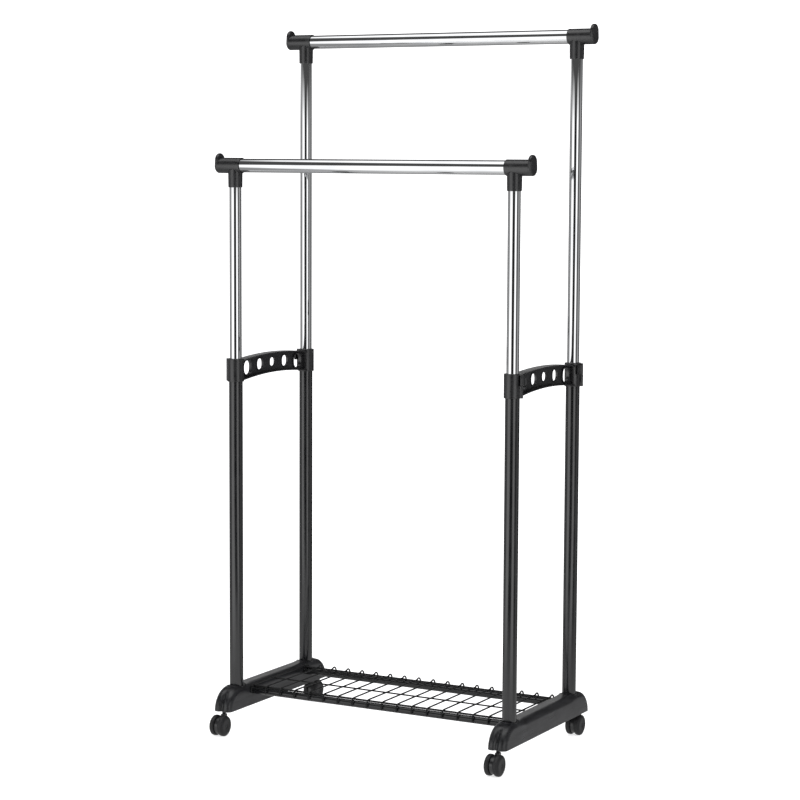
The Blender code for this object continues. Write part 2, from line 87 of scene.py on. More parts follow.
POST_R = extent("front_left_lower_post").x / 2
UPRIGHT_R = extent("front_left_upper_post").x / 2
ROD_R = extent("front_rod").z / 2
SHELF_R = extent("shelf_front_tube").z / 2
MID_Y = middle("left_foot").y
FOOT_LOW = low_z("left_foot")
FOOT_HIGH = high_z("left_foot")
WHEEL_R = extent("front_left_caster_left_wheel").z / 2


# ---------------------------------------------------------------- node materials
class Nodes:
    """A material's node tree with short calls for the nodes used here; coordinates are metres."""

    def __init__(self, name):
        self.material = bpy.data.materials.new(name)
        self.material.use_nodes = True
        self.tree = self.material.node_tree
        self.shader = self.tree.nodes["Principled BSDF"]
        self.object_space = self.tree.nodes.new("ShaderNodeTexCoord").outputs["Object"]

    def node(self, kind, **settings):
        made = self.tree.nodes.new(kind)
        for key, value in settings.items():
            setattr(made, key, value)
        return made

    def link(self, source, target):
        self.tree.links.new(source, target)

    def feed(self, made, inputs):
        for key, value in inputs.items():
            if isinstance(value, bpy.types.NodeSocket):
                self.link(value, made.inputs[key])
            else:
                made.inputs[key].default_value = value

    def stretched(self, scale):
        made = self.node("ShaderNodeMapping")
        self.feed(made, {"Vector": self.object_space, "Scale": scale})
        return made.outputs["Vector"]

    def noise(self, scale, detail=3.0, roughness=0.55, vector=None):
        made = self.node("ShaderNodeTexNoise")
        self.feed(made, {"Vector": vector or self.object_space, "Scale": scale,
                         "Detail": detail, "Roughness": roughness})
        return made.outputs["Fac"]

    def cells(self, scale):
        made = self.node("ShaderNodeTexVoronoi", feature='SMOOTH_F1')
        self.feed(made, {"Vector": self.object_space, "Scale": scale, "Smoothness": 0.6})
        return made.outputs["Distance"]

    def span(self, value, low, high, to_low=0.0, to_high=1.0):
        made = self.node("ShaderNodeMapRange")
        self.feed(made, {"Value": value, "From Min": low, "From Max": high,
                         "To Min": to_low, "To Max": to_high})
        return made.outputs["Result"]

    def math(self, operation, first, second=0.0):
        made = self.node("ShaderNodeMath", operation=operation)
        self.feed(made, {0: first, 1: second})
        return made.outputs[0]

    def hypot(self, first, second):
        squares = [self.math('MULTIPLY', value, value) for value in (first, second)]
        return self.math('SQRT', self.math('ADD', *squares))

    def coordinates(self):
        parts = self.node("ShaderNodeSeparateXYZ")
        self.link(self.object_space, parts.inputs[0])
        return [parts.outputs[axis] for axis in "XYZ"]

    def mix(self, factor, first, second):
        made = self.node("ShaderNodeMix", data_type='RGBA')
        self.feed(made, {"Factor": factor})
        for socket, colour in ((made.inputs[6], first), (made.inputs[7], second)):
            if isinstance(colour, bpy.types.NodeSocket):
                self.link(colour, socket)
            else:
                socket.default_value = (*colour, 1.0)
        return made.outputs[2]

    def surface(self, colour, roughness, metallic=0.0, specular=0.5):
        self.feed(self.shader, {"Base Color": colour, "Roughness": roughness})
        self.shader.inputs["Metallic"].default_value = metallic
        self.shader.inputs["Specular IOR Level"].default_value = specular

    def soft_edges(self, radius):
        """A normal that rounds sharp edges in shading."""
        made = self.node("ShaderNodeBevel", samples=4)
        made.inputs["Radius"].default_value = radius
        return made.outputs["Normal"]

    def relief(self, height, distance, strength=1.0, normal=None):
        made = self.node("ShaderNodeBump")
        self.feed(made, {"Height": height, "Distance": distance, "Strength": strength})
        if normal is not None:
            self.link(normal, made.inputs["Normal"])
        self.link(made.outputs["Normal"], self.shader.inputs["Normal"])


def chrome(name, along):
    """Bright plate with hairline polish marks that run along the tube."""
    n = Nodes(name)
    fine = [900.0, 900.0, 900.0]
    fine["XYZ".index(along)] = 14.0
    hairlines = n.noise(1.0, 4.0, 0.7, n.stretched(fine))
    smudge = n.noise(9.0, 4.0, 0.6)
    marks = n.span(hairlines, 0.50, 0.78)
    haze = n.span(smudge, 0.48, 0.75)
    bright = n.mix(haze, (0.86, 0.87, 0.88), (0.74, 0.75, 0.77))
    colour = n.mix(n.math('MULTIPLY', marks, 0.18), bright, (0.55, 0.56, 0.58))
    roughness = n.math('ADD', n.math('MULTIPLY', marks, 0.06), n.math('MULTIPLY', haze, 0.05))
    n.surface(colour, n.math('ADD', roughness, 0.035), metallic=1.0)
    n.relief(hairlines, 0.00001, 0.02)
    return n.material


def powder_coat(name, gloss=0.13, specular=1.0):
    """Black powder coat: faint orange peel, a little dust, and rubbed bright specks."""
    n = Nodes(name)
    peel = n.noise(1400.0, 2.0)
    cloud = n.noise(22.0, 4.0)
    rubs = n.span(n.noise(1.0, 5.0, 0.7, n.stretched((260.0, 260.0, 40.0))), 0.66, 0.80)
    base = n.mix(n.span(cloud, 0.35, 0.70), (0.0040, 0.0042, 0.0048), (0.0075, 0.0078, 0.0085))
    colour = n.mix(n.math('MULTIPLY', rubs, 0.25), base, (0.050, 0.051, 0.054))
    roughness = n.math('ADD', n.span(cloud, 0.3, 0.7, gloss, gloss + 0.07),
                       n.math('MULTIPLY', peel, 0.04))
    n.surface(colour, roughness, specular=specular)
    n.relief(peel, 0.00003, 0.10)
    return n.material


def moulded_plastic(name, gloss, specular, light, streak, edge, flow_height):
    """Black moulded plastic: etched grain, flow streaks along the moulding, and light scuffs."""
    n = Nodes(name)
    grain = n.cells(2600.0)
    flow = n.noise(1.0, 5.0, 0.65, n.stretched(streak))
    cloud = n.noise(30.0, 3.0)
    scuff = n.span(n.noise(180.0, 6.0, 0.75), 0.64, 0.76)
    base = n.mix(n.span(flow, 0.32, 0.70), (0.0026, 0.0026, 0.0032), light)
    colour = n.mix(n.math('MULTIPLY', scuff, 0.22), base, (0.050, 0.051, 0.055))
    roughness = n.math('ADD', n.span(cloud, 0.3, 0.7, gloss, gloss + 0.08),
                       n.math('MULTIPLY', flow, 0.10))
    n.surface(colour, roughness, specular=specular)
    height = n.math('ADD', n.math('MULTIPLY', grain, 0.5), n.math('MULTIPLY', flow, flow_height))
    n.relief(height, 0.00012, 0.30, n.soft_edges(edge))
    return n.material


def wheel_nylon(name):
    """Dark nylon, dusty and rubbed on the tread: the wheel's origin is at its hub."""
    n = Nodes(name)
    _x, y, z = n.coordinates()
    tread = n.span(n.hypot(y, z), WHEEL_R * 0.93, WHEEL_R)
    dust = n.math('MULTIPLY', tread, n.span(n.noise(240.0, 5.0, 0.7), 0.40, 0.72))
    cloud = n.noise(60.0, 3.0)
    base = n.mix(n.span(cloud, 0.3, 0.7), (0.0050, 0.0050, 0.0058), (0.0110, 0.0110, 0.0122))
    colour = n.mix(n.math('MULTIPLY', dust, 0.20), base, (0.070, 0.068, 0.066))
    n.surface(colour, n.span(cloud, 0.3, 0.7, 0.42, 0.54), specular=0.40)
    n.relief(n.cells(2200.0), 0.00010, 0.30, n.soft_edges(0.0005))
    return n.material


def dark_steel(name, colour_low, colour_high, roughness):
    """Blackened or plated steel with turning marks and a cloudy finish."""
    n = Nodes(name)
    turning = n.noise(1.0, 3.0, 0.6, n.stretched((90.0, 90.0, 2400.0)))
    cloud = n.noise(120.0, 4.0)
    colour = n.mix(n.span(cloud, 0.35, 0.70), colour_low, colour_high)
    n.surface(colour, n.span(turning, 0.3, 0.7, roughness - 0.06, roughness + 0.08), metallic=1.0)
    n.relief(turning, 0.00003, 0.30, n.soft_edges(0.0003))
    return n.material


CHROME_UP = chrome("chrome_upright", "Z")
CHROME_ACROSS = chrome("chrome_rod", "X")
BLACK_STEEL = powder_coat("black_powder_coat")
BLACK_BAR = powder_coat("black_bar_coat", gloss=0.17, specular=0.65)
BLACK_WIRE = powder_coat("black_wire_coat", gloss=0.45, specular=0.4)
PLASTIC = moulded_plastic(
    "black_moulding", gloss=0.25, specular=0.95, light=(0.0085, 0.0087, 0.0098),
    streak=(60.0, 60.0, 60.0), edge=0.0006, flow_height=0.8)
FOOT_PLASTIC = moulded_plastic(
    "black_foot_moulding", gloss=0.22, specular=0.60, light=(0.0160, 0.0165, 0.0185),
    streak=(260.0, 20.0, 200.0), edge=0.0010, flow_height=2.6)
WHEEL = wheel_nylon("caster_wheel_nylon")
STEM_STEEL = dark_steel("blackened_steel", (0.030, 0.030, 0.033), (0.055, 0.055, 0.058), 0.38)
ZINC_STEEL = dark_steel("zinc_plate", (0.46, 0.46, 0.47), (0.60, 0.59, 0.57), 0.26)


# ---------------------------------------------------------------- shapes
def fillet(points, radius, steps=5, closed=False):
    """Round the inner corners of a polyline of (a, b) points, or every corner of a closed one."""
    rounded = []
    count = len(points)
    for i, (a, b) in enumerate(points):
        inner = closed or 0 < i < count - 1
        here = Vector((a, b))
        before = Vector(points[i - 1]) - here
        after = Vector(points[(i + 1) % count]) - here
        if not inner or before.length < 1e-6 or after.length < 1e-6:
            rounded.append((a, b))
            continue
        turn = before.angle(after)
        if turn > math.radians(165):
            rounded.append((a, b))
            continue
        reach = min(radius / math.tan(turn / 2), 0.48 * before.length, 0.48 * after.length)
        start = here + before.normalized() * reach
        end = here + after.normalized() * reach
        for k in range(steps + 1):
            t = k / steps
            point = start * (1 - t) ** 2 + here * 2 * t * (1 - t) + end * t ** 2
            rounded.append((point.x, point.y))
    return rounded


def smooth(mesh, degrees=35.0):
    mesh.shade_smooth()
    mesh.set_sharp_from_angle(angle=math.radians(degrees))


def piece(name, bm, material, body, nodes=(), origin=(0.0, 0.0, 0.0)):
    """Make an object from a bmesh in world coordinates and tie it to the frame."""
    bmesh.ops.translate(bm, vec=-Vector(origin), verts=bm.verts)
    bmesh.ops.recalc_face_normals(bm, faces=bm.faces)
    mesh = bpy.data.meshes.new(name)
    bm.to_mesh(mesh)
    bm.free()
    smooth(mesh)
    mesh.materials.append(material)
    obj = bpy.data.objects.new(name, mesh)
    obj.location = origin
    bpy.context.scene.collection.objects.link(obj)
    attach(obj, body)
    if nodes:
        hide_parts(*nodes)
    return obj


def turned(profile, matrix, segments=ROUND, bm=None):
    """Turn a profile of (radius, height) about the matrix's Z axis, ends on the axis or closed."""
    bm = bm or bmesh.new()
    rings = []
    for radius, height in profile:
        if radius < 1e-7:
            rings.append([bm.verts.new(matrix @ Vector((0.0, 0.0, height)))])
            continue
        ring = []
        for i in range(segments):
            angle = 2 * math.pi * i / segments
            point = Vector((radius * math.cos(angle), radius * math.sin(angle), height))
            ring.append(bm.verts.new(matrix @ point))
        rings.append(ring)
    pairs = list(zip(rings, rings[1:]))
    if len(rings[0]) > 1 and len(rings[-1]) > 1:
        pairs.append((rings[-1], rings[0]))
    for first, second in pairs:
        for i in range(segments):
            j = (i + 1) % segments
            corners_here = [first[i % len(first)], first[j % len(first)],
                            second[j % len(second)], second[i % len(second)]]
            unique = list(dict.fromkeys(corners_here))
            bm.faces.new(unique)
    return bm


def standing(x, y, z=0.0):
    """A frame whose Z axis points up."""
    return Matrix.Translation((x, y, z))


def lying(x, y, z, facing=1):
    """A frame whose Z axis points along +X or, with facing -1, along -X."""
    return Matrix.Translation((x, y, z)) @ Matrix.Rotation(math.radians(90 * facing), 4, 'Y')


TUBE_EDGE = 0.0004          # rounding of a tube's cut ends


def pipe_profile(radius, wall, length):
    """Profile of a tube that stands on its lower end."""
    inner = radius - wall
    return fillet([(radius, length), (radius, 0.0), (inner, 0.0), (inner, length)],
                  TUBE_EDGE, 3, closed=True)


def block(bm, low, high):
    low = Vector(low)
    high = Vector(high)
    made = bmesh.ops.create_cube(bm, size=1.0)["verts"]
    bmesh.ops.scale(bm, vec=high - low, verts=made)
    bmesh.ops.translate(bm, vec=(low + high) / 2, verts=made)


def take_curve(curve, bm):
    """Add a curve's surface to a bmesh and delete the curve."""
    holder = bpy.data.objects.new("curve", curve)
    bpy.context.scene.collection.objects.link(holder)
    bpy.context.view_layer.update()
    made = bpy.data.meshes.new_from_object(holder.evaluated_get(
        bpy.context.evaluated_depsgraph_get()))
    bm.from_mesh(made)
    bpy.data.objects.remove(holder, do_unlink=True)
    bpy.data.curves.remove(curve)
    bpy.data.meshes.remove(made)


def prism(outlines, half, to_world, bevel, segments=2):
    """A plate from closed 2D outlines, the later ones holes, with its rims rounded."""
    curve = bpy.data.curves.new("outline", 'CURVE')
    curve.dimensions = '2D'
    curve.fill_mode = 'BOTH'
    curve.extrude = half - bevel
    curve.offset = -bevel
    curve.bevel_depth = bevel
    curve.bevel_resolution = segments
    for outline in outlines:
        spline = curve.splines.new('POLY')
        spline.points.add(len(outline) - 1)
        spline.use_cyclic_u = True
        for point, (a, b) in zip(spline.points, outline):
            point.co = (a, b, 0.0, 1.0)
    bm = bmesh.new()
    take_curve(curve, bm)
    bmesh.ops.remove_doubles(bm, verts=bm.verts, dist=WELD_DISTANCE)
    bmesh.ops.transform(bm, matrix=to_world, verts=bm.verts)
    bmesh.ops.recalc_face_normals(bm, faces=bm.faces)
    return bm


def combined(base, steps):
    """Apply Booleans to a bmesh, in order, as (operation, bmesh), and return the result."""
    def temporary(bm):
        bmesh.ops.recalc_face_normals(bm, faces=bm.faces)
        mesh = bpy.data.meshes.new("boolean")
        bm.to_mesh(mesh)
        bm.free()
        obj = bpy.data.objects.new("boolean", mesh)
        bpy.context.scene.collection.objects.link(obj)
        return obj

    target = temporary(base)
    tools = []
    for operation, bm in steps:
        tool = temporary(bm)
        tools.append(tool)
        modifier = target.modifiers.new("boolean", 'BOOLEAN')
        modifier.operation = operation
        modifier.solver = 'EXACT'
        modifier.object = tool
    bpy.context.view_layer.update()
    evaluated = target.evaluated_get(bpy.context.evaluated_depsgraph_get())
    result = bmesh.new()
    result.from_mesh(evaluated.to_mesh())
    evaluated.to_mesh_clear()
    for obj in [target, *tools]:
        mesh = obj.data
        bpy.data.objects.remove(obj, do_unlink=True)
        bpy.data.meshes.remove(mesh)
    bmesh.ops.remove_doubles(result, verts=result.verts, dist=0.000002)
    return result


def arc(centre, radius, start_deg, end_deg, steps):
    """Points (a, b) on a circle."""
    points = []
    for i in range(steps + 1):
        angle = math.radians(start_deg + (end_deg - start_deg) * i / steps)
        points.append((centre[0] + radius * math.cos(angle), centre[1] + radius * math.sin(angle)))
    return points


def side_plane(x):
    """Places a plate that is drawn in (y, z) and runs across X."""
    return Matrix(((0, 0, 1, x), (1, 0, 0, 0), (0, 1, 0, 0), (0, 0, 0, 1)))


def ease(t):
    """A smooth step from 0 to 1."""
    t = min(max(t, 0.0), 1.0)
    return t * t * (3 - 2 * t)


# Below, sizes that can't be read from a node's box repeat those of the CAD.
# ---------------------------------------------------------------- feet
NOSE_RUN = 0.042            # length of the rounded nose at each end
NOSE_STEPS = 40
TOP_STEPS = 180
FLAT_STEPS = 32
SHOULDER_STEPS = 10
SHOULDER = 0.0092           # rounding of the top's long edges at the posts
SHOULDER_GROWTH = 0.0026    # and how much larger it gets between them
VALLEY = 0.0036             # depth of the valley between the pair of rolls that form each nose
VALLEY_HALF = 0.0068
VALLEY_TOP = 0.0035         # how far under the foot's top the valley starts
VALLEY_FADE = 0.0110
CROWN = 0.0012              # how far the top falls from its middle to its sides
RIM = 0.0011                # height of the low ring round each post
RIM_OUT = 0.0042            # the ring's crest, out from the post's surface
RIM_WIDTH = 0.0018
SEAT = 0.0006               # how far the top sinks where it meets the post
SEAT_WIDTH = 0.0025
POCKET_HALF = 0.078
POCKET_RIB = 0.003
POCKET_ROOF = 0.0085
SCREW_WELL_R = 0.0064
SCREW_WELL_DEPTH = 0.004
SCREW_HOLE_R = 0.0034
PAST = 0.01                 # how far a cutting tool runs past the surface it opens


def foot_outline(half_length):
    """Side outline of a foot as (y, z, outward normal), from the front end over to the rear."""
    rise = FOOT_HIGH - FOOT_LOW
    nose = []
    for i in range(NOSE_STEPS + 1):
        angle = math.radians(90.0 * i / NOSE_STEPS)
        normal = Vector((math.cos(angle) / NOSE_RUN, math.sin(angle) / rise)).normalized()
        nose.append((half_length - NOSE_RUN * (1.0 - math.cos(angle)),
                     FOOT_LOW + rise * math.sin(angle), normal))
    flat = half_length - NOSE_RUN
    top = [(flat * (1.0 - 2.0 * i / TOP_STEPS), FOOT_HIGH, Vector((0.0, 1.0)))
           for i in range(1, TOP_STEPS)]
    rear = [(-y, z, Vector((-normal.x, normal.y))) for y, z, normal in reversed(nose)]
    return nose + top + rear


def foot_section(half_width, shoulder):
    """Across a foot: x, and how far the surface lies under the side outline there."""
    flat = half_width - shoulder
    columns = [(flat * (2.0 * i / FLAT_STEPS - 1.0), 0.0) for i in range(FLAT_STEPS + 1)]
    rounded = []
    for i in range(1, SHOULDER_STEPS + 1):
        angle = math.radians(90.0 * i / SHOULDER_STEPS)
        rounded.append((flat + shoulder * math.sin(angle), shoulder * (1.0 - math.cos(angle))))
    left = [(-x, sunk) for x, sunk in reversed(rounded)]
    return [(x, sunk + CROWN * (x / half_width) ** 2) for x, sunk in left + columns + rounded]


def foot_relief(x, y, z, post_reach):
    """Depth of the nose's valley, less the height of the low rim around each post."""
    past = abs(y) - post_reach
    fade = ease((FOOT_HIGH - VALLEY_TOP - z) / VALLEY_FADE) if past > 0 else 0.0
    across = min(abs(x) / VALLEY_HALF, 1.0)
    valley = VALLEY * fade * (0.5 + 0.5 * math.cos(math.pi * across))
    away = math.hypot(x, past)
    rim = RIM * math.exp(-((away - POST_R - RIM_OUT) / RIM_WIDTH) ** 2)
    seat = SEAT * (1.0 - ease((away - POST_R) / SEAT_WIDTH))
    return valley - rim + seat


def build_foot(side_name, side):
    node = f"{side_name}_foot"
    centre = middle(node)
    size = extent(node)
    half_length = size.y / 2
    post_reach = abs(middle(f"front_{side_name}_lower_post").y - MID_Y)
    bm = bmesh.new()
    rows = []
    for y, z, normal in foot_outline(half_length):
        inner = ease((post_reach - 0.012 - abs(y)) / 0.020)
        row = []
        for x, sunk in foot_section(size.x / 2, SHOULDER + SHOULDER_GROWTH * inner):
            inward = sunk + foot_relief(x, y, z, post_reach)
            row.append(bm.verts.new((centre.x + x, MID_Y + y - normal.x * inward,
                                     z - normal.y * inward)))
        rows.append(row)
    for first, second in zip(rows, rows[1:]):
        for a, b, c, d in zip(first, first[1:], second[1:], second):
            bm.faces.new((a, b, c, d))
    bm.faces.new([row[0] for row in rows])
    bm.faces.new([row[-1] for row in reversed(rows)])
    bm.faces.new(rows[0] + rows[-1][::-1])

    length = (2 * POCKET_HALF - 2 * POCKET_RIB) / 3
    pockets = bmesh.new()
    for i in range(3):
        start = MID_Y - POCKET_HALF + i * (length + POCKET_RIB)
        block(pockets, (centre.x - size.x / 2 + POCKET_RIB, start, FOOT_LOW - 0.002),
              (centre.x + size.x / 2 - POCKET_RIB, start + length, FOOT_HIGH - POCKET_ROOF))
    bores = bmesh.new()
    for end_name, _end in ENDS:
        corner = f"{end_name}_{side_name}"
        post = middle(f"{corner}_lower_post")
        seat = low_z(f"{corner}_lower_post") - CLEAR
        well_top = FOOT_LOW + SCREW_WELL_DEPTH
        well = [(0.0, FOOT_LOW - PAST), (SCREW_WELL_R, FOOT_LOW - PAST), (SCREW_WELL_R, well_top),
                (SCREW_HOLE_R, well_top), (SCREW_HOLE_R, seat), (POST_R + CLEAR, seat),
                (POST_R + CLEAR, FOOT_HIGH + PAST), (0.0, FOOT_HIGH + PAST)]
        turned(well, standing(post.x, post.y), SMALL_ROUND, bores)
        stem = middle(f"{corner}_caster_stem")
        stem_r = extent(f"{corner}_caster_stem").x / 2 + CLEAR
        top = high_z(f"{corner}_caster_stem") + CLEAR
        turned([(0.0, FOOT_LOW - PAST), (stem_r, FOOT_LOW - PAST), (stem_r, top), (0.0, top)],
               standing(stem.x, stem.y), SMALL_ROUND, bores)
        tube = middle(f"shelf_{end_name}_tube")
        tube_end = side * (extent(f"shelf_{end_name}_tube").x / 2 + CLEAR)
        turned([(0.0, 0.0), (SHELF_R + CLEAR, 0.0), (SHELF_R + CLEAR, 0.04), (0.0, 0.04)],
               lying(tube_end, tube.y, tube.z, -side), SMALL_ROUND, bores)
    made = combined(bm, [('DIFFERENCE', pockets), ('DIFFERENCE', bores)])
    piece(f"{node}_moulding", made, FOOT_PLASTIC, "base", [node])


# ---------------------------------------------------------------- tubes, posts and rods
POST_WALL = 0.0012
TUBE_WALL = 0.001           # uprights, rods and shelf tubes
PLUG_BORE_R = 0.0031        # threaded hole in the plug at a post's foot
PLUG_HEIGHT = 0.012


def build_posts():
    for name, _side_name, _side, end_name, _end, x, y in corners():
        node = f"{name}_lower_post"
        size = extent(node)
        inner = POST_R - POST_WALL
        profile = fillet([(POST_R, size.z), (POST_R, 0.0), (PLUG_BORE_R, 0.0),
                          (PLUG_BORE_R, PLUG_HEIGHT), (inner, PLUG_HEIGHT), (inner, size.z)],
                         TUBE_EDGE, 3, closed=True)
        piece(f"{node}_tube", turned(profile, standing(x, y, low_z(node))), BLACK_STEEL,
              "base", [node])
        node = f"{name}_upper_post"
        profile = pipe_profile(UPRIGHT_R, TUBE_WALL, extent(node).z)
        piece(f"{node}_tube", turned(profile, standing(x, y, low_z(node))), CHROME_UP,
              f"{end_name}_frame", [node])
        build_screw(f"{name}_post_screw", x, y)
    for end_name, _end in ENDS:
        rod = f"{end_name}_rod"
        piece(f"{rod}_tube", bar_across(rod, ROD_R, ROUND), CHROME_ACROSS,
              f"{end_name}_frame", [rod])
        bar = f"shelf_{end_name}_tube"
        piece(f"{bar}_bar", bar_across(bar, SHELF_R, SMALL_ROUND), BLACK_BAR,
              "base", [bar])


def bar_across(node, radius, segments):
    """A tube along X, where the node is."""
    length = extent(node).x
    centre = middle(node)
    return turned(pipe_profile(radius, TUBE_WALL, length),
                  lying(-length / 2, centre.y, centre.z), segments)


def build_screw(node, x, y):
    """A pan-head screw, head down, with a cross recess."""
    low = low_z(node)
    shank = high_z(node) - low
    head_top = 0.0029
    thread_r, root_r = 0.0029, 0.0025
    head = [(0.0, 0.0), (0.0030, 0.0001), (0.0048, 0.0008), (0.0055, 0.0021),
            (0.0055, head_top), (thread_r, head_top)]
    threads = []
    turns = 9
    start = head_top + 0.0002
    pitch = (shank - head_top - 0.0004) / turns
    for i in range(turns):
        threads += [(thread_r, start + pitch * (i + 0.3)), (root_r, start + pitch * (i + 0.8))]
    profile = head + threads + [(0.0022, shank), (0.0, shank)]
    cuts = []
    for half_x, half_y, depth in ((0.0026, 0.0005, 0.0017), (0.0005, 0.0026, 0.0016)):
        slot = bmesh.new()
        block(slot, (x - half_x, y - half_y, low - 0.001), (x + half_x, y + half_y, low + depth))
        cuts.append(('DIFFERENCE', slot))
    made = combined(turned(profile, standing(x, y, low), SMALL_ROUND), cuts)
    piece(f"{node}_body", made, ZINC_STEEL, "base", [node])


# ---------------------------------------------------------------- tees
TEE_FOOT_R = 0.0129         # post sleeve at its lower rim
TEE_DRAFT = 0.0005          # and how much wider it is where it meets the rod sleeve
RIM_RUN = 0.004             # length of tube wall drawn behind each rounded rim
STOP_HALF = 0.0130
STOP_DEPTH = 0.0075
STOP_SINK = 0.0040          # how far the rod sleeve ends inside the stop


def build_tee(name, side, end_name, x, y):
    """Rod sleeve closed by an egg-shaped end stop, on a slightly tapered sleeve for the post."""
    node = f"{name}_rod_tee"
    low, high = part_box(node)
    rod_z = middle(f"{end_name}_rod").z
    mouth = low[0] if side > 0 else high[0]
    length = high[0] - low[0]
    sleeve_r = (high[1] - low[1]) / 2
    rod_end = extent(f"{end_name}_rod").x / 2 + CLEAR
    bore_depth = rod_end - abs(mouth)
    bore_r = ROD_R + CLEAR
    sleeve_end = length - STOP_SINK
    profile = (
        [(0.0, sleeve_end)]
        + fillet([(0.0, sleeve_end), (sleeve_r, sleeve_end), (sleeve_r, 0.006)], 0.0020, 6)[1:]
        + fillet([(sleeve_r, 0.006), (sleeve_r, 0.0), (bore_r, 0.0), (bore_r, RIM_RUN)], 0.0006, 4)
        + [(bore_r, bore_depth), (0.0, bore_depth)])
    body = turned(profile, lying(mouth, y, rod_z, side))
    post_top = high_z(f"{name}_upper_post") + CLEAR
    drop = low[2]
    post_bore_r = UPRIGHT_R + CLEAR
    socket = turned(
        [(0.0, post_top), (post_bore_r, post_top)]
        + fillet([(post_bore_r, drop + RIM_RUN), (post_bore_r, drop), (TEE_FOOT_R, drop),
                  (TEE_FOOT_R + 0.0001, drop + RIM_RUN)], 0.0007, 4)
        + [(TEE_FOOT_R + TEE_DRAFT, rod_z - 0.0080), (TEE_FOOT_R - 0.0030, rod_z - 0.0030),
           (0.0, rod_z - 0.0030)], standing(x, y))
    rod_space = turned([(0.0, 0.0), (bore_r, 0.0), (bore_r, bore_depth + PAST),
                        (0.0, bore_depth + PAST)], lying(mouth - side * PAST, y, rod_z, side))
    crown = high[2] - STOP_HALF
    outline = (arc((y, crown), STOP_HALF, 0, 180, 36)
               + arc((y, rod_z), sleeve_r - 0.00005, 188, 352, 40))
    stop_x = x + side * (abs((high[0] if side > 0 else low[0]) - x) - STOP_DEPTH / 2 - 0.0001)
    stop = prism([outline], STOP_DEPTH / 2, side_plane(stop_x), 0.0030, 5)
    post_space = turned([(0.0, drop - PAST), (post_bore_r, drop - PAST), (post_bore_r, post_top),
                         (0.0, post_top)], standing(x, y))
    made = combined(body, [('UNION', socket), ('UNION', stop), ('DIFFERENCE', rod_space),
                           ('DIFFERENCE', post_space)])
    piece(f"{node}_moulding", made, PLASTIC, f"{end_name}_frame", [node])


# ---------------------------------------------------------------- side brackets
WEB_HALF = 0.00125
FLANGE_HALF = 0.0105
FLANGE = 0.0024
SLEEVE_R = 0.0153
SLEEVE_RISE = 0.0118        # sleeve's top over the lever's middle
REACH = 0.1125
CROWN_TOP = 0.6985
CROWN_LOW = 0.6618
DIP_TOP = 0.0065            # how far each edge of the arch has fallen at REACH
DIP_LOW = 0.0075
HOLES = ((0.0880, 0.0133, 0.0036), (0.0437, 0.0103, 0.0024), (0.0, 0.0080, 0.0))
HOLE_RIM = 0.0018           # width of the raised rim round a hole
SQUARENESS = 2.6            # 2 is a circle
LEVER_PIVOT = 0.0170        # lever pin's distance from the post's axis
LEVER_HEAD_R = 0.0032
LEVER_PIN_R = 0.0014
LEVER_BORE_R = 0.0015
LEVER_THICKNESS = 0.0026    # of the arm
LEVER_REACH = 0.0128        # from the pin to where the arm's end is rounded
EAR_ROOT = (0.0120, 0.0028)     # where an ear leaves the sleeve: out from the post, half width


def arch_top(y):
    return CROWN_TOP - DIP_TOP * (y / REACH) ** 2


def arch_low(y):
    return CROWN_LOW - DIP_LOW * (y / REACH) ** 2


def hole_outline(centre, radius, steps=48):
    """A round hole with slightly squared shoulders."""
    points = []
    for a, b in arc((0.0, 0.0), 1.0, 0, 360 - 360 / steps, steps - 1):
        swell = radius / (abs(a) ** SQUARENESS + abs(b) ** SQUARENESS) ** (1 / SQUARENESS)
        points.append((centre[0] + a * swell, centre[1] + b * swell))
    return points


def arch_strip(high, low, steps=40):
    ys = [REACH * (2.0 * i / steps - 1.0) for i in range(steps + 1)]
    return ([(MID_Y + y, high(y)) for y in ys] + [(MID_Y + y, low(y)) for y in reversed(ys)])


